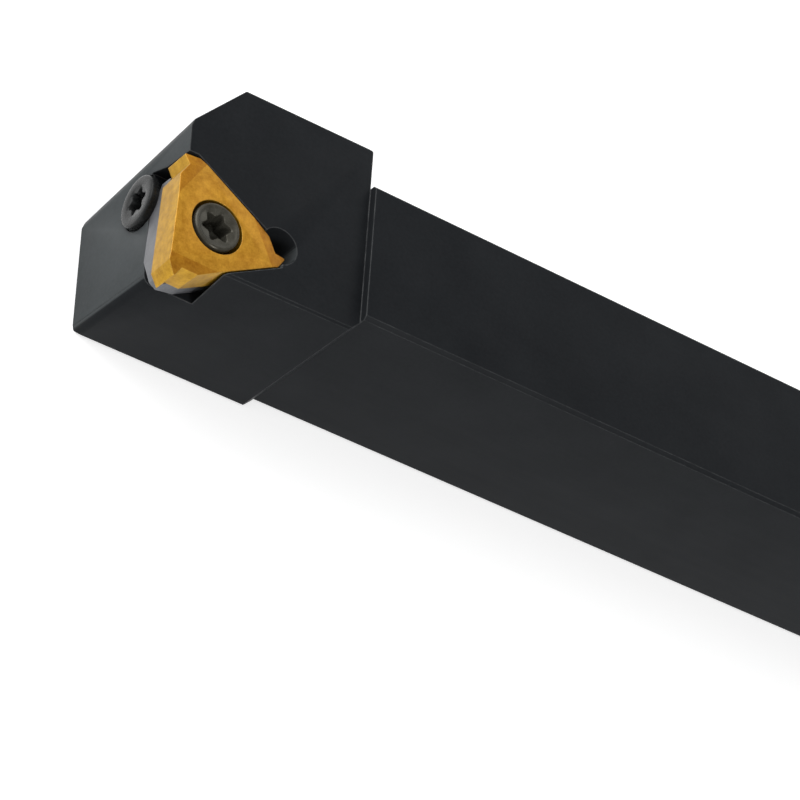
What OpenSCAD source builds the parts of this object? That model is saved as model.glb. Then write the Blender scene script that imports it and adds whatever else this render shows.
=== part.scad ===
// External threading tool holder for a turning machine, with a lay-down insert.
// +X points toward the cutting end, +Y toward the side where the thread tip stands out, +Z up.
// The origin is on the bottom seat, on the centre line of the shank, where the head begins.
// Lengths are in millimetres.

/* [Shank] */

// Width of the shank
shank_w = 16; // [12:1:20]
// Height of the shank, from the bottom seat to the top face
shank_h = 20; // [19:1:25]
// Length of the whole holder, from its rear end to the front face of the head
overall_l = 125; // [100:5:150]
// Chamfer along the long edges of the shank
shank_edge = 0.4; // [0.2:0.1:0.8]
// Chamfer around the rear end of the shank
rear_edge = 1; // [0.5:0.25:1.5]

/* [Head] */

// Length of the head at the bottom, from the step to its front face
head_l = 21.5; // [21:0.1:22]
// Distance from the centre line to the head's side on the cutting side
head_near = 9.2; // [8.8:0.1:9.8]
// Distance from the centre line to the head's other side
head_far = 12.9; // [12:0.05:14]
// Height of the head's top face at the step
head_h = 19; // [18.9:0.05:19.1]
// Fall of the head's top face toward the front, in degrees
top_fall = 0.8; // [0.4:0.1:1]
// Backward lean of the front face, in degrees
front_lean = 2; // [1:0.25:2.5]
// Skew of the front face, turned toward the cutting side, in degrees
front_skew = 2; // [0:0.25:3]
// Small chamfer along the edges of the head
head_edge = 0.4; // [0.3:0.05:0.5]
// Radius of the upright edge between the front face and the cutting side
front_round = 0.9; // [0.4:0.1:1.2]
// Chamfer of the head's rear edge on the cutting side
step_edge = 1.1; // [0.5:0.1:1.2]

/* [Corner chamfer] */

// Length of the big corner chamfer along the head's side, at the top
corner_l = 5.9; // [4:0.1:7]
// Width of the big corner chamfer along the front face, at the top
corner_w = 6.5; // [5:0.1:7.5]
// Lean of the big corner chamfer, in degrees, so that it is larger at the bottom
corner_lean = 4.2; // [0:0.2:6]
// Width of the small chamfer between the corner chamfer and the front face
corner_edge = 0.9; // [0.4:0.1:1.2]

/* [Pocket] */

// Height of the pocket floor above the bottom seat
floor_z = 12.3; // [12:0.05:12.5]
// Distance of the insert's centre behind the front end of the head, along the bottom
insert_back = 4.45; // [4.3:0.05:4.7]
// Distance from the shank's centre line to the insert's centre
insert_out = 4.45; // [4.3:0.05:4.6]
// Turn of the insert and its pocket about the upright axis, in degrees
insert_turn = 1; // [0:0.25:2]
// Clearance between the insert and the pocket walls
wall_gap = 0.15; // [0.1:0.05:0.25]
// Undercut of the pocket walls, in degrees from upright
wall_lean = 2; // [0:0.5:3]
// Distance from the shank's centre line to the pocket's far wall
far_wall = 2.85; // [2.7:0.05:3]
// Distance from the insert's centre to the rear end of the pocket's walls
wedge_back = 7.65; // [7.5:0.05:7.8]
// Radius of the round relief at the rear corner of the pocket
relief_r = 2; // [1.9:0.1:2.2]
// Distance of the round relief behind the insert's centre
relief_back = 7.15; // [7:0.05:7.3]
// Distance of the round relief toward the far side, from the insert's centre
relief_side = 1.2; // [1.1:0.05:1.3]
// Length of the slanted relief in the pocket's far wall
far_relief_l = 2.5; // [1.5:0.25:3]
// Height of the top of the slanted relief above the bottom seat
far_relief_z = 15; // [14:0.25:16]
// Slant of the relief from upright, in degrees
far_relief_a = 14; // [5:1:20]

/* [Insert] */

// Diameter of the circle inside the triangle of the insert
insert_ic = 9.3; // [9.2:0.025:9.525]
// Thickness of the insert
insert_t = 3.5; // [3.4:0.02:3.6]
// Depth of the insert's top below the head's top face at the step
insert_sink = 0.2; // [0.15:0.05:0.3]
// Relief of the insert's side faces, in degrees
side_relief = 1.5; // [0.5:0.5:3]
// Relief below the tips, in degrees
tip_relief = 1; // [0.5:0.5:3]
// Included angle of a thread tip, in degrees
tip_angle = 60; // [55:1:62]
// Position of a tip's point along the front edge, from the insert's centre
tip_x = 3.8; // [3.7:0.05:3.9]
// Reach of a tip's point from the insert's centre
tip_y = 7.15; // [7:0.05:7.2]
// Width of the small flat on a tip's point
tip_flat = 0.16; // [0.1:0.02:0.24]
// Distance from the insert's centre to the shoulder beside a tip
shoulder_y = 6.15; // [6.05:0.05:6.25]
// Distance from the insert's centre to the start of a chip breaker
breaker_y = 4.95; // [4.7:0.05:5.2]
// Fall of a chip breaker toward its tip, in degrees
breaker_fall = 10; // [6:1:14]
// Diameter of the insert's bore
insert_bore = 4.3; // [4.2:0.1:4.4]
// Diameter of the mouth of the insert's bore
bore_mouth = 5.8; // [5.6:0.05:5.9]

/* [Shim] */

// Distance from the shim's centre to its straight sides
shim_in = 3.9; // [3.8:0.05:3.95]
// Distance from the shim's centre to its cut corners
shim_corner = 7; // [6.8:0.1:7.2]
// Height of the slanted cut below the shim's corners
shim_cut = 1.6; // [1.2:0.1:2]
// Slant of the cut below the shim's corners, in degrees from upright
shim_slant = 60; // [50:5:60]
// Diameter of the shim's bore
shim_bore = 3.9; // [3.8:0.1:4.2]

/* [Screws] */

// Diameter of the insert screw's head
screw_head = 5.1; // [5:0.05:5.2]
// Angle of the cone below the insert screw's head, in degrees
screw_cone = 60; // [50:5:70]
// Thread diameter of the insert screw
screw_d = 3.5; // [3:0.1:3.6]
// Length of the insert screw
screw_l = 11; // [9:0.5:12]
// Depth of the insert screw's head below the top of the insert
screw_sink = 0.25; // [0.15:0.05:0.3]
// Turn of the insert screw's recess, in degrees
screw_turn = 0; // [0:5:55]
// Diameter of the shim screw's head
lock_head = 5.8; // [5.4:0.1:6]
// Height of the shim screw's head
lock_proud = 0.9; // [0.7:0.1:1.1]
// Depth of the flat seat under the shim screw's head
lock_seat = 0.25; // [0.15:0.05:0.3]
// Thread diameter of the shim screw
lock_d = 3; // [2.5:0.1:3.2]
// Length of the shim screw's shank
lock_l = 8; // [6:0.5:9]
// Distance from the centre line to the shim screw, toward the far side
lock_side = 0.7; // [0.6:0.1:1]
// Height of the shim screw's axis above the bottom seat
lock_z = 10.8; // [10.6:0.1:11]
// Turn of the shim screw's recess, in degrees
lock_turn = 5; // [0:5:55]
// Width of the six-lobe recess in both screws
recess_w = 3.3; // [3:0.1:3.4]
// Depth of the six-lobe recess
recess_t = 1.3; // [1:0.1:1.5]
// Clearance around the thread of each screw
thread_gap = 0.05; // [0.05:0.05:0.1]
// Clearance below the insert screw's head
cone_gap = 0.05; // [0.05:0.05:0.1]

/* [Hidden] */

$fn = 64;
eps = 0.01;
far = 40;
rear_x = head_l - overall_l;
insert_in = insert_ic / 2;
insert_x = head_l - insert_back;
rake_z = head_h - insert_sink;
shim_top = rake_z - insert_t;
shim_t = shim_top - floor_z;
corner_y = corner_w - head_far;
corner_x = front_x(corner_y, head_h);
corner_a = -atan2(corner_l, corner_w);
lock_x = front_x(-lock_side, lock_z) - lock_seat;
screw_rim = 0.7;

// Place of the front face along the X axis, at a distance y from the centre line and at a height z.
function front_x(y, z) = head_l - y * tan(front_skew) - z * tan(front_lean);

// Everything beyond an upright plane at a distance d in the direction a, leaning back by r below z0.
module beyond(d, a, r, z0) {
  rotate([0, 0, a])
    translate([d, 0, z0])
      rotate([0, r, 0])
        translate([0, -far, -far])
          cube([far * 2, far * 2, far * 2]);
}

// Everything beyond a leaning plane through a point, facing the direction a.
module beyond_point(x, y, a, r, z0) {
  translate([x, y, 0])
    beyond(0, a, r, z0);
}

// Long bar with a right-angled section turned by 45 degrees, its middle on the X axis.
module edge_cut(size, l) {
  rotate([45, 0, 0])
    cube([l, size * sqrt(2), size * sqrt(2)], center = true);
}

// Shank with chamfered long edges and rear end.
module shank_bar() {
  l = -rear_x + 1;
  difference() {
    translate([rear_x, -shank_w / 2, 0])
      cube([l, shank_w, shank_h]);
    for (y = [-shank_w / 2, shank_w / 2]) {
      for (z = [0, shank_h]) {
        translate([rear_x + l / 2, y, z])
          edge_cut(shank_edge, l + 2);
      }
    }
    for (y = [-shank_w / 2, shank_w / 2]) {
      translate([rear_x, y, shank_h / 2])
        rotate([0, 90, 0])
          edge_cut(rear_edge, shank_h + 2);
    }
    for (z = [0, shank_h]) {
      translate([rear_x, 0, z])
        rotate([0, 0, 90])
          edge_cut(rear_edge, shank_w + 2);
    }
    translate([0, -far, head_h - 2])
      cube([far, far * 2, far]);
  }
}

// Outline of the head seen from above, longer than the head, with the chamfers of its rear edges.
module head_outline() {
  difference() {
    translate([0, -head_far])
      square([head_l + 2, head_far + head_near]);
    translate([0, head_near])
      rotate([0, 0, 45])
        square([step_edge * sqrt(2), step_edge * sqrt(2)], center = true);
    translate([0, -head_far])
      rotate([0, 0, 45])
        square([head_edge * sqrt(2), head_edge * sqrt(2)], center = true);
  }
}

// What is cut away around the leaning, rounded edge between the front face and the cutting side.
module front_edge_round() {
  translate([front_x(head_near, 0), head_near, 0])
    rotate([0, -front_lean, 0])
      translate([-front_round, -front_round, -1])
        linear_extrude(height = head_h + 2)
          difference() {
            square([front_round + 1, front_round + 1]);
            circle(r = front_round);
          }
}

// Head with its falling top face, leaning front face, big corner chamfer and small edge chamfers.
module head_block() {
  half = (front_skew - corner_a) / 2;
  edge_lean = atan((tan(corner_lean) - tan(front_lean)) / 2 / cos(half));
  difference() {
    linear_extrude(height = head_h + 1)
      head_outline();
    translate([0, -far, head_h])
      rotate([0, top_fall, 0])
        translate([-far, 0, 0])
          cube([far * 3, far * 2, far]);
    beyond_point(head_l, 0, front_skew, -front_lean, 0);
    beyond_point(corner_x, corner_y, corner_a, corner_lean, head_h);
    translate([corner_x, corner_y, 0])
      beyond(-corner_edge / 2 * tan(half), corner_a + half, edge_lean, head_h);
    front_edge_round();
    for (y = [-head_far, head_near]) {
      translate([head_l / 2, y, head_h])
        rotate([0, top_fall, 0])
          edge_cut(head_edge, head_l * 3);
      translate([head_l / 2, y, 0])
        edge_cut(head_edge, head_l * 3);
    }
  }
}

// Puts things where the insert's centre is, turned with it, at a height z.
module at_insert(z) {
  translate([insert_x, insert_out, z])
    rotate([0, 0, -insert_turn])
      children();
}

// Pocket with two undercut walls along the insert's rear sides, open to the front and the cutting side.
module pocket() {
  d = insert_in + wall_gap;
  difference() {
    at_insert(floor_z)
      difference() {
        translate([-wedge_back, -far, 0])
          cube([far * 2, far * 2, far]);
        for (a = [120, 240]) {
          beyond(d, a, -wall_lean, rake_z - floor_z);
        }
      }
    translate([0, -far * 2 - far_wall, 0])
      cube([far * 2, far * 2, far]);
  }
  at_insert(floor_z)
    translate([-relief_back, -relief_side, 0])
      cylinder(h = far, r = relief_r);
}

// Slanted relief in the pocket's far wall, beside the foremost thread tip.
module far_relief() {
  intersection() {
    translate([front_x(-far_wall, floor_z) - far_relief_l, -far, floor_z])
      cube([far_relief_l + 2, far * 2, far_relief_z - floor_z]);
    translate([0, -far_wall, far_relief_z])
      rotate([-far_relief_a, 0, 0])
        translate([0, 0, -far])
          cube([far, 3, far]);
  }
}

// Bore of the insert screw in the holder.
module insert_screw_bore() {
  at_insert(rake_z - screw_sink - screw_l - 1)
    cylinder(h = screw_l, d = screw_d + 2 * thread_gap);
}

// Bore of the shim screw in the front face, with the flat seat of its head.
module shim_screw_bore() {
  translate([lock_x, -lock_side, lock_z])
    rotate([0, 90, 0]) {
      translate([0, 0, -lock_l - 1])
        cylinder(h = lock_l + 2, d = lock_d + 2 * thread_gap);
      cylinder(h = 3, d = lock_head + 0.2);
    }
}

module holder_body() {
  color("#2c2f30")
    difference() {
      union() {
        shank_bar();
        head_block();
      }
      pocket();
      far_relief();
      insert_screw_bore();
      shim_screw_bore();
    }
}

// Triangular plate with leaning sides, around the Z axis, its top at z = t.
module tri_plate(in_r, t, relief) {
  difference() {
    cylinder(h = t, r = in_r * 2 + 1);
    for (a = [0, 120, 240]) {
      beyond(in_r, a, relief, t);
    }
  }
}

// What is cut away around one thread tip, with the tip pointing to +Y.
module tip_cuts() {
  half = tip_angle / 2;
  // in front of the tip
  beyond_point(tip_x + tip_flat / 2, tip_y, half, tip_relief, insert_t);
  // behind the tip, down to the shoulder
  intersection() {
    beyond_point(tip_x - tip_flat / 2, tip_y, 180 - half, tip_relief, insert_t);
    beyond_point(0, shoulder_y, 90, tip_relief, insert_t);
  }
  // beyond the tip's point
  beyond_point(tip_x, tip_y, 90, tip_relief, insert_t);
  // chip breaker falling toward the tip
  translate([0, breaker_y, insert_t])
    rotate([-breaker_fall, 0, 0])
      translate([-far, 0, 0])
        cube([far * 2, far, far]);
}

module threading_insert() {
  color("#c39128")
    at_insert(shim_top)
      difference() {
        tri_plate(insert_in, insert_t, side_relief);
        for (a = [0, 120, 240]) {
          rotate([0, 0, a])
            intersection() {
              tip_cuts();
              beyond_point(0, 3.5, 60, 0, insert_t);
            }
        }
        translate([0, 0, -1])
          cylinder(h = insert_t + 2, d = insert_bore);
        screw_seat();
      }
}

// Mouth of the insert's bore and the cone that the countersunk screw sits in.
module screw_seat() {
  slope = tan(screw_cone / 2);
  mouth_t = screw_sink + screw_rim - (bore_mouth - screw_head - 2 * cone_gap) / 2 / slope;
  cone_t = (bore_mouth - insert_bore) / 2 / slope;
  translate([0, 0, insert_t - mouth_t])
    cylinder(h = mouth_t + 1, d = bore_mouth);
  translate([0, 0, insert_t - mouth_t - cone_t])
    cylinder(h = cone_t, d1 = insert_bore, d2 = bore_mouth);
}

module shim() {
  color("#7d8087")
    at_insert(floor_z)
      difference() {
        tri_plate(shim_in, shim_t, 0);
        for (a = [60, 180, 300]) {
          beyond(shim_corner, a, 0, 0);
          beyond(shim_corner, a, shim_slant, shim_cut);
        }
        translate([0, 0, -1])
          cylinder(h = shim_t + 2, d = shim_bore);
      }
}

// Six-lobe recess around the Z axis, going down from z = 0.
module recess() {
  notch_r = recess_w * 0.13;
  lobe_r = recess_w * 0.1;
  translate([0, 0, -recess_t])
    linear_extrude(height = recess_t + 1)
      difference() {
        union() {
          circle(r = recess_w * 0.42);
          for (a = [0:60:300]) {
            rotate([0, 0, a])
              translate([recess_w / 2 - lobe_r, 0])
                circle(r = lobe_r);
          }
        }
        for (a = [30:60:330]) {
          rotate([0, 0, a])
            translate([recess_w * 0.36 + notch_r, 0])
              circle(r = notch_r);
        }
      }
}

module insert_screw() {
  cone_t = (screw_head - screw_d) / 2 / tan(screw_cone / 2);
  color("#5c5f5e")
    at_insert(rake_z - screw_sink)
      rotate([0, 0, screw_turn])
        difference() {
          union() {
            translate([0, 0, -screw_l])
              cylinder(h = screw_l - screw_rim, d = screw_d);
            translate([0, 0, -screw_rim])
              cylinder(h = screw_rim - 0.25, d = screw_head);
            translate([0, 0, -0.25])
              cylinder(h = 0.25, d1 = screw_head, d2 = screw_head - 0.6);
            translate([0, 0, -screw_rim - cone_t])
              cylinder(h = cone_t, d1 = screw_d, d2 = screw_head);
          }
          recess();
        }
}

module shim_screw() {
  color("#5c5f5e")
    translate([lock_x, -lock_side, lock_z])
      rotate([0, 90, 0])
        difference() {
          union() {
            translate([0, 0, -lock_l])
              cylinder(h = lock_l + eps, d = lock_d);
            cylinder(h = lock_proud - 0.2, d = lock_head);
            translate([0, 0, lock_proud - 0.2])
              cylinder(h = 0.2, d1 = lock_head, d2 = lock_head - 0.5);
          }
          translate([0, 0, lock_proud])
            rotate([0, 0, lock_turn])
              recess();
        }
}

holder_body();
shim();
threading_insert();
insert_screw();
shim_screw();
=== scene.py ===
"""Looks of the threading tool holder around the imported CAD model, in metres in its frame."""

import math

import bpy
from mathutils import Matrix, Vector


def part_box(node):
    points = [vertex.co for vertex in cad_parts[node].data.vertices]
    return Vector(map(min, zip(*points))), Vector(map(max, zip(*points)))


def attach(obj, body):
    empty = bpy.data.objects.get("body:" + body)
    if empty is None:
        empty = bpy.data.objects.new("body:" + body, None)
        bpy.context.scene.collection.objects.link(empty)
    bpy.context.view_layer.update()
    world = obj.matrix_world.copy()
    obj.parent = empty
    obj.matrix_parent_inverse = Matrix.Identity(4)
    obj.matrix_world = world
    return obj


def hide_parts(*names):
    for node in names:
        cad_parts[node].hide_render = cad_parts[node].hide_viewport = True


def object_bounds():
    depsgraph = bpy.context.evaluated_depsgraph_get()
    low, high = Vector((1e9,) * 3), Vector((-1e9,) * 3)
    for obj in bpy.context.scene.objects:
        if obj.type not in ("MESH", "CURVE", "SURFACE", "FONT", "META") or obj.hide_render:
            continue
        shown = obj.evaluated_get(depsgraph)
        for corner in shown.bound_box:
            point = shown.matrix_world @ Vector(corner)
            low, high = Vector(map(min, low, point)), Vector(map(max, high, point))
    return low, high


MM = 0.001
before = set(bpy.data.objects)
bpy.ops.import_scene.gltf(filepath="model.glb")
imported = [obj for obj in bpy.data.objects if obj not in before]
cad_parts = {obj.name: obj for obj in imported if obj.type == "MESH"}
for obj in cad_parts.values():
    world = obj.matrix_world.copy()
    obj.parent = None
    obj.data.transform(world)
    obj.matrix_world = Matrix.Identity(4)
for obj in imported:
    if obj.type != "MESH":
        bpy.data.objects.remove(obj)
cad_low, cad_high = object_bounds()

# Camera
CAMERA_EYE = Vector((156.252, 194.447, 255.677)) * MM
CAMERA_RIGHT = Vector((-0.80292, -0.05928, 0.59314))
CAMERA_DOWN = Vector((-0.35668, 0.84503, -0.39838))
CAMERA_FOCUS_PX = 3483.0
PICTURE_PX = 800
SENSOR_MM = 36.0
NEAREST = 0.01
FARTHEST = 20.0


def make_camera():
    right = CAMERA_RIGHT.normalized()
    back = -right.cross(CAMERA_DOWN).normalized()
    up = back.cross(right)
    turn = Matrix((right, up, back)).transposed().to_4x4()
    data = bpy.data.cameras.new("camera")
    data.sensor_width = SENSOR_MM
    data.lens = CAMERA_FOCUS_PX / PICTURE_PX * SENSOR_MM
    data.clip_start = NEAREST
    data.clip_end = FARTHEST
    camera = bpy.data.objects.new("camera", data)
    camera.matrix_world = Matrix.Translation(CAMERA_EYE) @ turn
    bpy.context.scene.collection.objects.link(camera)
    bpy.context.scene.camera = camera


# Materials
# Noise values lie around 0.5, so most ramps over them use one of these ranges.
NOISE_MIDDLE = (0.35, 0.65)
NOISE_WIDE = (0.3, 0.7)

# Rounded edges in the shading: samples, usual reach, and how alike two normals are on a flat.
EDGE_SAMPLES = 6
EDGE_R = 0.10 * MM
EDGE_FLAT = 0.99

OXIDE_DARK = (0.0118, 0.0131, 0.0148)
OXIDE_LIGHT = (0.0168, 0.0184, 0.0204)
# Edges painted lighter: partly wear of the oxide, partly painted highlight.
OXIDE_WORN_AND_HIGHLIGHT = (0.150, 0.155, 0.158)
OXIDE_WORN_AND_HIGHLIGHT_R = 0.20 * MM
OXIDE_WORN_AND_HIGHLIGHT_SHARE = 0.65
# Front face painted lighter: painted light for the lamp light and floor reflection it catches.
LIT_FRONT_DARK = (0.048, 0.053, 0.055)
LIT_FRONT_LIGHT = (0.070, 0.077, 0.080)
LIT_FRONT_BEGINS = (4.0 * MM, 9.0 * MM)
LIT_FRONT_FACING = (0.90, 0.97)

RAKE_DARK = (0.430, 0.182, 0.007)
RAKE_LIGHT = (0.690, 0.352, 0.032)
# Flanks painted darker than the rake: painted shade against the lamp light they catch.
SHADED_FLANK_DARK = (0.310, 0.155, 0.002)
SHADED_FLANK_LIGHT = (0.540, 0.305, 0.022)
# Chip breakers painted darker: painted shade for facets that tilt away from the lamp.
SHADED_BREAKER_DARK = (0.360, 0.130, 0.003)
SHADED_BREAKER_LIGHT = (0.570, 0.260, 0.016)
# Painted highlight: a pale line along the insert's edges.
GOLD_EDGE_HIGHLIGHT = (0.92, 0.68, 0.28)
GOLD_EDGE_HIGHLIGHT_SHARE = 0.75
# How far a face turns up where flank passes into rake, and where breakers begin and end.
FLANK_TO_RAKE = (0.5, 0.8)
BREAKER_FROM = (0.90, 0.94)
BREAKER_TO = (0.990, 0.997)

CARBIDE_DARK = (0.120, 0.123, 0.133)
CARBIDE_LIGHT = (0.157, 0.160, 0.170)
# Painted highlight: a lighter line along the shim's edges.
CARBIDE_EDGE_HIGHLIGHT = (0.30, 0.31, 0.33)
CARBIDE_EDGE_HIGHLIGHT_SHARE = 0.5

INSERT_SCREW_DARK = (0.048, 0.045, 0.035)
INSERT_SCREW_LIGHT = (0.078, 0.074, 0.060)
SHIM_SCREW_DARK = (0.014, 0.015, 0.015)
SHIM_SCREW_LIGHT = (0.020, 0.021, 0.021)
# Painted highlight: the screws' edges painted brighter.
SCREW_EDGE_HIGHLIGHT_GAIN = 2.2
SCREW_EDGE_HIGHLIGHT_SHARE = 0.35


class Nodes:
    """Builds a node material with short calls, laid out in the object's coordinates in metres."""

    def __init__(self, name):
        self.mat = bpy.data.materials.new(name)
        self.mat.use_nodes = True
        self.tree = self.mat.node_tree
        self.shader = self.tree.nodes["Principled BSDF"]
        self.coords = self.add("ShaderNodeTexCoord").outputs["Object"]
        self.rounded = None

    def add(self, kind, **values):
        node = self.tree.nodes.new(kind)
        for key, value in values.items():
            setattr(node, key, value)
        return node

    def put(self, value, socket):
        """Links a value that comes from a socket, or sets a plain one."""
        if isinstance(value, bpy.types.NodeSocket):
            self.tree.links.new(value, socket)
        else:
            socket.default_value = value

    def noise(self, per_metre, detail=4.0, roughness=0.55, stretch=None):
        node = self.add("ShaderNodeTexNoise")
        vector = self.coords
        if stretch:
            mapping = self.add("ShaderNodeMapping")
            self.put(self.coords, mapping.inputs["Vector"])
            self.put(stretch, mapping.inputs["Scale"])
            vector = mapping.outputs["Vector"]
        self.put(vector, node.inputs["Vector"])
        self.put(per_metre, node.inputs["Scale"])
        self.put(detail, node.inputs["Detail"])
        self.put(roughness, node.inputs["Roughness"])
        return node.outputs["Fac"]

    def ramp(self, value, over, to=(0.0, 1.0)):
        """Maps the range over to the range to, clamped."""
        node = self.add("ShaderNodeMapRange", clamp=True)
        self.put(value, node.inputs["Value"])
        self.put(over[0], node.inputs["From Min"])
        self.put(over[1], node.inputs["From Max"])
        self.put(to[0], node.inputs["To Min"])
        self.put(to[1], node.inputs["To Max"])
        return node.outputs["Result"]

    def mix(self, factor, first, second):
        node = self.add("ShaderNodeMix", data_type="RGBA")
        self.put(factor, node.inputs["Factor"])
        for value, socket in ((first, node.inputs["A"]), (second, node.inputs["B"])):
            plain = not isinstance(value, bpy.types.NodeSocket)
            self.put((*value, 1.0) if plain else value, socket)
        return node.outputs["Result"]

    def math(self, kind, first, second):
        node = self.add("ShaderNodeMath", operation=kind)
        self.put(first, node.inputs[0])
        self.put(second, node.inputs[1])
        return node.outputs[0]

    def times(self, first, second):
        return self.math("MULTIPLY", first, second)

    def weighted(self, *parts):
        """Sum of values, each times its weight."""
        terms = [self.times(value, weight) for value, weight in parts]
        total = terms[0]
        for term in terms[1:]:
            total = self.math("ADD", total, term)
        return total

    def component(self, vector, axis):
        split = self.add("ShaderNodeSeparateXYZ")
        self.put(vector, split.inputs[0])
        return split.outputs[axis]

    def facing(self, axis):
        """Component of the true face normal: 1 on faces that look straight along the axis."""
        return self.component(self.add("ShaderNodeNewGeometry").outputs["True Normal"], axis)

    def edges(self, radius=EDGE_R, start=0.80):
        """1 on edges, 0 farther off than the radius. The bump then rounds those edges too."""
        bevel = self.add("ShaderNodeBevel", samples=EDGE_SAMPLES)
        self.put(radius, bevel.inputs["Radius"])
        self.rounded = bevel.outputs["Normal"]
        dot = self.add("ShaderNodeVectorMath", operation="DOT_PRODUCT")
        self.put(self.rounded, dot.inputs[0])
        self.put(self.add("ShaderNodeNewGeometry").outputs["Normal"], dot.inputs[1])
        return self.ramp(dot.outputs["Value"], over=(start, EDGE_FLAT), to=(1.0, 0.0))

    def bump(self, height, distance, strength):
        node = self.add("ShaderNodeBump")
        self.put(self.rounded, node.inputs["Normal"])
        self.put(height, node.inputs["Height"])
        self.put(distance, node.inputs["Distance"])
        self.put(strength, node.inputs["Strength"])
        return node.outputs["Normal"]

    def finish(self, color, roughness, normal, metallic, specular=0.5):
        sockets = self.shader.inputs
        self.put(color, sockets["Base Color"])
        self.put(roughness, sockets["Roughness"])
        self.put(normal, sockets["Normal"])
        self.put(metallic, sockets["Metallic"])
        self.put(specular, sockets["Specular IOR Level"])
        return self.mat


def oxide_steel():
    """Black oxide on steel: satin, lines along the shank, edges painted lighter as partly wear
    and partly painted highlight, and a front face painted lighter as painted light for the lamp
    light and floor reflection it catches.
    """
    n = Nodes("black_oxide_steel")
    cloud = n.noise(per_metre=110.0, detail=5.0, roughness=0.6)
    fine = n.noise(per_metre=2600.0, detail=3.0, roughness=0.6)
    lines = n.noise(per_metre=900.0, roughness=0.7, stretch=(0.06, 1.0, 1.0))
    tone = n.weighted((cloud, 0.6), (fine, 0.4))
    sides = n.mix(n.ramp(tone, over=NOISE_MIDDLE), OXIDE_DARK, OXIDE_LIGHT)
    # Painted light: the head's faces along +X get the lighter tone.
    front = n.mix(n.ramp(tone, over=NOISE_WIDE), LIT_FRONT_DARK, LIT_FRONT_LIGHT)
    ahead = n.ramp(n.component(n.coords, "X"), over=LIT_FRONT_BEGINS)
    is_painted_lit_front = n.times(ahead, n.ramp(n.facing("X"), over=LIT_FRONT_FACING))
    base = n.mix(is_painted_lit_front, sides, front)
    # Edges painted lighter in patches: partly wear, partly painted highlight.
    patches = n.ramp(n.noise(per_metre=700.0), over=(0.35, 0.6), to=(0.45, 1.0))
    worn_and_highlight = n.times(n.edges(OXIDE_WORN_AND_HIGHLIGHT_R, start=0.90), patches)
    color = n.mix(n.times(worn_and_highlight, OXIDE_WORN_AND_HIGHLIGHT_SHARE), base, OXIDE_WORN_AND_HIGHLIGHT)
    rough = n.ramp(n.weighted((fine, 0.5), (lines, 0.5)), over=NOISE_WIDE, to=(0.36, 0.48))
    normal = n.bump(n.weighted((fine, 0.8), (lines, 0.2)), distance=0.006 * MM, strength=0.5)
    return n.finish(color, rough, normal, metallic=0.0, specular=0.04)


def gold_coating():
    """Gold coloured coating on carbide: mottled rake, chip breakers and flanks painted darker
    than the rake as painted shade, and a painted highlight along the edges.
    """
    n = Nodes("gold_coating")
    blotch = n.noise(per_metre=1100.0, detail=5.0, roughness=0.68)
    smear = n.noise(per_metre=1500.0, detail=5.0, roughness=0.7, stretch=(1.0, 0.35, 1.0))
    grain = n.noise(per_metre=5200.0, detail=3.0, roughness=0.6)
    tone = n.weighted((blotch, 0.5), (smear, 0.25), (grain, 0.25))
    mottle = n.ramp(tone, over=(0.38, 0.62))
    rake = n.mix(mottle, RAKE_DARK, RAKE_LIGHT)
    shaded_flank = n.mix(mottle, SHADED_FLANK_DARK, SHADED_FLANK_LIGHT)
    shaded_breaker = n.mix(mottle, SHADED_BREAKER_DARK, SHADED_BREAKER_LIGHT)
    facing_up = n.facing("Z")
    # Painted shade: faces turned away from up get the darker tone of the flanks.
    color = n.mix(n.ramp(facing_up, over=FLANK_TO_RAKE, to=(1.0, 0.0)), rake, shaded_flank)
    # Painted shade: faces tilted a little off flat, the chip breakers, get the darker tone.
    below_flat = n.ramp(facing_up, over=BREAKER_TO, to=(1.0, 0.0))
    is_shaded_breaker = n.times(below_flat, n.ramp(facing_up, over=BREAKER_FROM))
    color = n.mix(is_shaded_breaker, color, shaded_breaker)
    # Painted highlight along the edges.
    color = n.mix(n.times(n.edges(), GOLD_EDGE_HIGHLIGHT_SHARE), color, GOLD_EDGE_HIGHLIGHT)
    rough = n.ramp(grain, over=NOISE_WIDE, to=(0.34, 0.50))
    normal = n.bump(n.weighted((blotch, 0.5), (grain, 0.5)), distance=0.010 * MM, strength=0.7)
    return n.finish(color, rough, normal, metallic=0.75)


def bare_carbide():
    """Ground carbide: bluish grey, fine grain, and a painted highlight along its edges."""
    n = Nodes("bare_carbide")
    grain = n.noise(per_metre=3800.0, roughness=0.6)
    cloud = n.noise(per_metre=420.0, roughness=0.6)
    base = n.mix(n.ramp(cloud, over=NOISE_MIDDLE), CARBIDE_DARK, CARBIDE_LIGHT)
    # Painted highlight along the edges.
    color = n.mix(n.times(n.edges(), CARBIDE_EDGE_HIGHLIGHT_SHARE), base, CARBIDE_EDGE_HIGHLIGHT)
    rough = n.ramp(grain, over=NOISE_WIDE, to=(0.36, 0.52))
    normal = n.bump(grain, distance=0.006 * MM, strength=0.6)
    return n.finish(color, rough, normal, metallic=0.3)


def screw_steel(name, dark, light):
    """Hardened screw steel with a cloudy surface and a painted highlight along its edges."""
    n = Nodes(name)
    grain = n.noise(per_metre=3000.0, roughness=0.65)
    cloud = n.noise(per_metre=700.0, roughness=0.6)
    base = n.mix(n.ramp(cloud, over=NOISE_MIDDLE), dark, light)
    # Painted highlight along the edges.
    edge = tuple(SCREW_EDGE_HIGHLIGHT_GAIN * c for c in light)
    color = n.mix(n.times(n.edges(), SCREW_EDGE_HIGHLIGHT_SHARE), base, edge)
    rough = n.ramp(grain, over=NOISE_WIDE, to=(0.20, 0.34))
    normal = n.bump(grain, distance=0.006 * MM, strength=0.6)
    return n.finish(color, rough, normal, metallic=0.4, specular=0.2)


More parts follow.
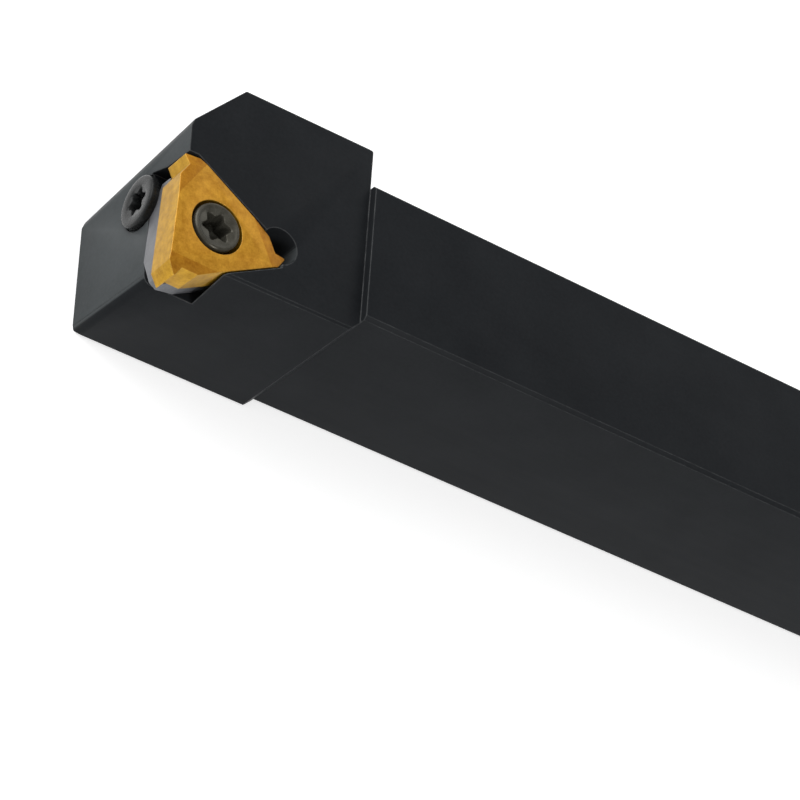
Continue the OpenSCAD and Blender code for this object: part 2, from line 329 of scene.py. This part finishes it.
# CAD nodes with rounded edges
WELD = 0.002 * MM
FLAT_DEG = 0.6
SHARP_DEG = 22.0


def dress(node, material, edge, segments=3):
    """Gives a CAD node its material and rounded edges."""
    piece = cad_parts[node]
    piece.data.materials.clear()
    piece.data.materials.append(material)
    weld = piece.modifiers.new("weld", "WELD")
    weld.merge_threshold = WELD
    flat = piece.modifiers.new("flat", "DECIMATE")
    flat.decimate_type = "DISSOLVE"
    flat.angle_limit = math.radians(FLAT_DEG)
    bevel = piece.modifiers.new("bevel", "BEVEL")
    bevel.width = edge
    bevel.segments = segments
    bevel.limit_method = "ANGLE"
    bevel.angle_limit = math.radians(SHARP_DEG)
    bevel.use_clamp_overlap = True
    bevel.harden_normals = True
    for face in piece.data.polygons:
        face.use_smooth = True


# Screws
# Each is built from rings: a height, which is 0 at the head's top face, and a radius by angle.
LOBES = 6
LOBE_OUT = 1.66 * MM
LOBE_IN = 1.20 * MM
LOBE_SHARPNESS = 1.15
SCREW_STEPS = 144
SCREW_SHARP_DEG = 38.0

RECESS_FLOOR_R = 0.5 * MM
RECESS_FLOOR_DROP = 0.25 * MM
RECESS_TAPER = 0.06 * MM
RECESS_MOUTH = 0.05 * MM
RECESS_MOUTH_H = 0.06 * MM

THREAD_PITCH = 0.5 * MM
THREAD_DEPTH = 0.26 * MM
THREAD_STEPS = 6
THREAD_GAP = 0.05 * MM
THREAD_END = 0.5 * MM
TIP_CHAMFER = 0.3 * MM

INSERT_SCREW_TURN_DEG = 13.0
INSERT_SCREW_RISE = 0.43 * MM
INSERT_SCREW_SHIFT = (0.0, -0.04 * MM)
INSERT_SCREW_RECESS = 2.3 * MM
INSERT_SCREW_LEAD_IN = 0.24 * MM
INSERT_SCREW_RIM_MM = 2.57
INSERT_SCREW_NECK_MM = 1.72
INSERT_SCREW_TIP = 1.1 * MM
# Height and radius: lead-in, rounded rim, edge, cone and neck.
INSERT_SCREW_HEAD_MM = (
    (-0.16, 1.92), (-0.12, 2.08), (-0.02, 2.22), (0.0, 2.30), (-0.01, 2.36), (-0.06, 2.46),
    (-0.15, 2.54), (-0.26, INSERT_SCREW_RIM_MM), (-1.10, INSERT_SCREW_RIM_MM),
    (-2.45, INSERT_SCREW_NECK_MM), (-2.90, INSERT_SCREW_NECK_MM))

SHIM_SCREW_TURN_DEG = 5.0
SHIM_SCREW_RECESS = 1.5 * MM
SHIM_SCREW_LEAD_IN = 0.10 * MM
SHIM_SCREW_RECESS_SIZE = 0.90
SHIM_SCREW_RIM_INSET = 0.06 * MM
SHIM_SCREW_HEAD_T = 0.9 * MM
SHIM_SCREW_COLLAR = 0.6 * MM
SHIM_SCREW_NECK = 1.47 * MM
SHIM_SCREW_TIP = 0.9 * MM
# Height and radius of the rounded recess mouth, then depth and distance inside the rim.
SHIM_SCREW_MOUTH_MM = ((-0.03, 1.72), (0.0, 1.82))
SHIM_SCREW_ROUNDING_MM = ((0.0, 0.30), (0.03, 0.16), (0.10, 0.05), (0.20, 0.0))


def circle(radius):
    return lambda angle: radius


def lobes(offset, size):
    """Outline of the six-lobe recess, scaled by size and moved outward by offset."""

    def radius(angle):
        wave = 0.5 + 0.5 * math.cos(LOBES * angle)
        return size * (LOBE_IN + (LOBE_OUT - LOBE_IN) * wave ** LOBE_SHARPNESS) + offset

    return radius


def recess_rings(depth, lead_in, size=1.0):
    """Floor, wall and mouth of the six-lobe recess."""
    return [(-depth - RECESS_FLOOR_DROP, circle(RECESS_FLOOR_R)),
            (-depth, lobes(-RECESS_TAPER, size)),
            (-lead_in - RECESS_MOUTH_H, lobes(0.0, size)),
            (-lead_in, lobes(RECESS_MOUTH, size))]


def threaded_rings(top, length, neck, tip):
    """Helical thread that fades out at both ends, and below it the tip with its chamfer."""
    bottom = -length + THREAD_END
    count = int((top - bottom) / THREAD_PITCH * THREAD_STEPS)
    rings = []
    for i in range(count + 1):
        z = top + (bottom - top) * i / count
        fade = min(1.0, i / THREAD_STEPS, (count - i) / THREAD_STEPS)

        def wall(angle, z=z, fade=fade):
            turn = (z / THREAD_PITCH - angle / math.tau) % 1.0
            return neck - THREAD_DEPTH * (1.0 - fade * (1.0 - abs(2.0 * turn - 1.0)))

        rings.append((z, wall))
    rings += [(-length + TIP_CHAMFER, circle(tip + TIP_CHAMFER)), (-length, circle(tip))]
    return rings


def make_screw(name, rings, place, material, node):
    """Closed screw from rings that run from the recess floor over the head down to the tip."""
    steps = SCREW_STEPS
    verts = []
    faces = []
    for z, wall in rings:
        for k in range(steps):
            angle = math.tau * k / steps
            r = wall(angle)
            verts.append(place @ Vector((r * math.cos(angle), r * math.sin(angle), z)))
    for i in range(len(rings) - 1):
        for k in range(steps):
            a, b = i * steps + k, i * steps + (k + 1) % steps
            faces.append((a, a + steps, b + steps, b))
    for ring, flip in ((0, False), (len(rings) - 1, True)):
        centre = len(verts)
        verts.append(place @ Vector((0.0, 0.0, rings[ring][0])))
        for k in range(steps):
            a, b = ring * steps + k, ring * steps + (k + 1) % steps
            faces.append((centre, b, a) if flip else (centre, a, b))
    mesh = bpy.data.meshes.new(name)
    mesh.from_pydata(verts, [], faces)
    mesh.shade_smooth()
    mesh.set_sharp_from_angle(angle=math.radians(SCREW_SHARP_DEG))
    mesh.materials.append(material)
    piece = bpy.data.objects.new(name, mesh)
    bpy.context.scene.collection.objects.link(piece)
    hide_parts(node)
    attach(piece, "root")


def insert_screw(material):
    """Countersunk screw, its head at the height that the photo shows."""
    low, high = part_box("insert_screw")
    middle = (low + high) / 2
    top = high.z + INSERT_SCREW_RISE
    rings = recess_rings(INSERT_SCREW_RECESS, INSERT_SCREW_LEAD_IN)
    rings += [(z * MM, circle(r * MM)) for z, r in INSERT_SCREW_HEAD_MM]
    neck = INSERT_SCREW_NECK_MM * MM
    thread_top = INSERT_SCREW_HEAD_MM[-1][0] * MM - THREAD_GAP
    rings += threaded_rings(thread_top, top - low.z, neck, INSERT_SCREW_TIP)
    shift_x, shift_y = INSERT_SCREW_SHIFT
    place = (Matrix.Translation((middle.x + shift_x, middle.y + shift_y, top))
             @ Matrix.Rotation(math.radians(INSERT_SCREW_TURN_DEG), 4, "Z"))
    make_screw("insert_screw_piece", rings, place, material, "insert_screw")


def shim_screw(material):
    """Flat headed screw on the front face of the head, along X."""
    low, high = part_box("shim_screw")
    middle = (low + high) / 2
    rim = (high.z - low.z) / 2 - SHIM_SCREW_RIM_INSET
    under = -SHIM_SCREW_HEAD_T
    collar = under - SHIM_SCREW_COLLAR
    rings = recess_rings(SHIM_SCREW_RECESS, SHIM_SCREW_LEAD_IN, SHIM_SCREW_RECESS_SIZE)
    rings += [(z * MM, circle(r * MM)) for z, r in SHIM_SCREW_MOUTH_MM]
    rings += [(-depth * MM, circle(rim - inside * MM))
              for depth, inside in SHIM_SCREW_ROUNDING_MM]
    rings += [(under, circle(rim)), (under, circle(SHIM_SCREW_NECK)),
              (collar, circle(SHIM_SCREW_NECK))]
    rings += threaded_rings(collar - THREAD_GAP, high.x - low.x, SHIM_SCREW_NECK, SHIM_SCREW_TIP)
    place = (Matrix.Translation((high.x, middle.y, middle.z))
             @ Matrix.Rotation(math.radians(90), 4, "Y")
             @ Matrix.Rotation(math.radians(SHIM_SCREW_TURN_DEG), 4, "Z"))
    make_screw("shim_screw_piece", rings, place, material, "shim_screw")


# Floor, world and lamps
FLOOR_HALF = 6.0
FLOOR_PAPER = (0.80, 0.80, 0.80, 1)
FLOOR_GLOW = 0.55
WHITE = (1.0, 1.0, 1.0, 1)
WORLD_LIT_SIDE = Vector((0.8, -0.5, -0.1))
WORLD_SPREAD = 0.9
WORLD_LIT = 0.80
WORLD_DARK = 0.36
LAMP_TARGET = Vector((0.0, 0.0, 0.01))
# Name, place, diameter in metres and power in watts.
LAMPS = (
    ("key_lamp", (0.62, -0.45, 0.42), 1.00, 5.7),
    ("back_lamp", (-0.46, -0.48, 0.46), 0.40, 0.35),
    ("glint_lamp", (-0.22, 0.80, 0.50), 0.32, 3.0),
)


def light_path(tree, plain, seen):
    """Mixes two shaders: the second one for camera, glossy and transmission rays."""
    path = tree.nodes.new("ShaderNodeLightPath")
    rays = path.outputs["Is Camera Ray"]
    for kind in ("Is Glossy Ray", "Is Transmission Ray"):
        either = tree.nodes.new("ShaderNodeMath")
        either.operation = "MAXIMUM"
        tree.links.new(rays, either.inputs[0])
        tree.links.new(path.outputs[kind], either.inputs[1])
        rays = either.outputs[0]
    mix = tree.nodes.new("ShaderNodeMixShader")
    tree.links.new(rays, mix.inputs[0])
    tree.links.new(plain, mix.inputs[1])
    tree.links.new(seen, mix.inputs[2])
    return mix.outputs[0]


def make_floor():
    """Pale floor under the object, which keeps the object's shadow."""
    half = FLOOR_HALF
    mesh = bpy.data.meshes.new("floor")
    corners = [(-half, -half, 0), (half, -half, 0), (half, half, 0), (-half, half, 0)]
    mesh.from_pydata(corners, [], [(0, 1, 2, 3)])
    floor = bpy.data.objects.new("floor", mesh)
    floor.location = (0, 0, cad_low.z)
    bpy.context.scene.collection.objects.link(floor)
    mat = bpy.data.materials.new("floor")
    mat.use_nodes = True
    tree = mat.node_tree
    tree.nodes.clear()
    out = tree.nodes.new("ShaderNodeOutputMaterial")
    paper = tree.nodes.new("ShaderNodeBsdfDiffuse")
    paper.inputs["Color"].default_value = FLOOR_PAPER
    glow = tree.nodes.new("ShaderNodeEmission")
    glow.inputs["Color"].default_value = WHITE
    glow.inputs["Strength"].default_value = FLOOR_GLOW
    lit_paper = tree.nodes.new("ShaderNodeAddShader")
    tree.links.new(paper.outputs[0], lit_paper.inputs[0])
    tree.links.new(glow.outputs[0], lit_paper.inputs[1])
    surface = light_path(tree, paper.outputs[0], lit_paper.outputs[0])
    tree.links.new(surface, out.inputs["Surface"])
    mesh.materials.append(mat)


def make_world():
    """Soft studio surroundings: brightest toward the lit side, darkest on the opposite one."""
    world = bpy.data.worlds.new("world")
    bpy.context.scene.world = world
    world.use_nodes = True
    tree = world.node_tree
    tree.nodes.clear()
    coords = tree.nodes.new("ShaderNodeTexCoord")
    dot = tree.nodes.new("ShaderNodeVectorMath")
    dot.operation = "DOT_PRODUCT"
    dot.inputs[1].default_value = WORLD_LIT_SIDE.normalized()
    tree.links.new(coords.outputs["Generated"], dot.inputs[0])
    ramp = tree.nodes.new("ShaderNodeMapRange")
    ramp.interpolation_type = "SMOOTHSTEP"
    ramp.inputs["From Min"].default_value = -WORLD_SPREAD
    ramp.inputs["From Max"].default_value = WORLD_SPREAD
    ramp.inputs["To Min"].default_value = WORLD_DARK
    ramp.inputs["To Max"].default_value = WORLD_LIT
    tree.links.new(dot.outputs["Value"], ramp.inputs["Value"])
    glow = tree.nodes.new("ShaderNodeBackground")
    glow.inputs["Color"].default_value = WHITE
    tree.links.new(ramp.outputs["Result"], glow.inputs["Strength"])
    out = tree.nodes.new("ShaderNodeOutputWorld")
    tree.links.new(glow.outputs[0], out.inputs["Surface"])


def make_lamp(name, place, diameter, power):
    """Round soft lamp aimed at the place where the head begins."""
    data = bpy.data.lights.new(name, "AREA")
    data.shape = "DISK"
    data.size = diameter
    data.energy = power
    lamp = bpy.data.objects.new(name, data)
    lamp.location = place
    aim = LAMP_TARGET - Vector(place)
    lamp.rotation_euler = aim.to_track_quat("-Z", "Y").to_euler()
    bpy.context.scene.collection.objects.link(lamp)


make_camera()
steel = oxide_steel()
gold = gold_coating()
carbide = bare_carbide()
insert_screw_steel = screw_steel("insert_screw_steel", INSERT_SCREW_DARK, INSERT_SCREW_LIGHT)
shim_screw_steel = screw_steel("shim_screw_steel", SHIM_SCREW_DARK, SHIM_SCREW_LIGHT)
dress("holder_body", steel, edge=0.05 * MM, segments=2)
dress("shim", carbide, edge=0.08 * MM)
dress("threading_insert", gold, edge=0.04 * MM)
insert_screw(insert_screw_steel)
shim_screw(shim_screw_steel)
make_floor()
make_world()
for lamp_row in LAMPS:
    make_lamp(*lamp_row)
bpy.context.scene.view_settings.view_transform = "Standard"
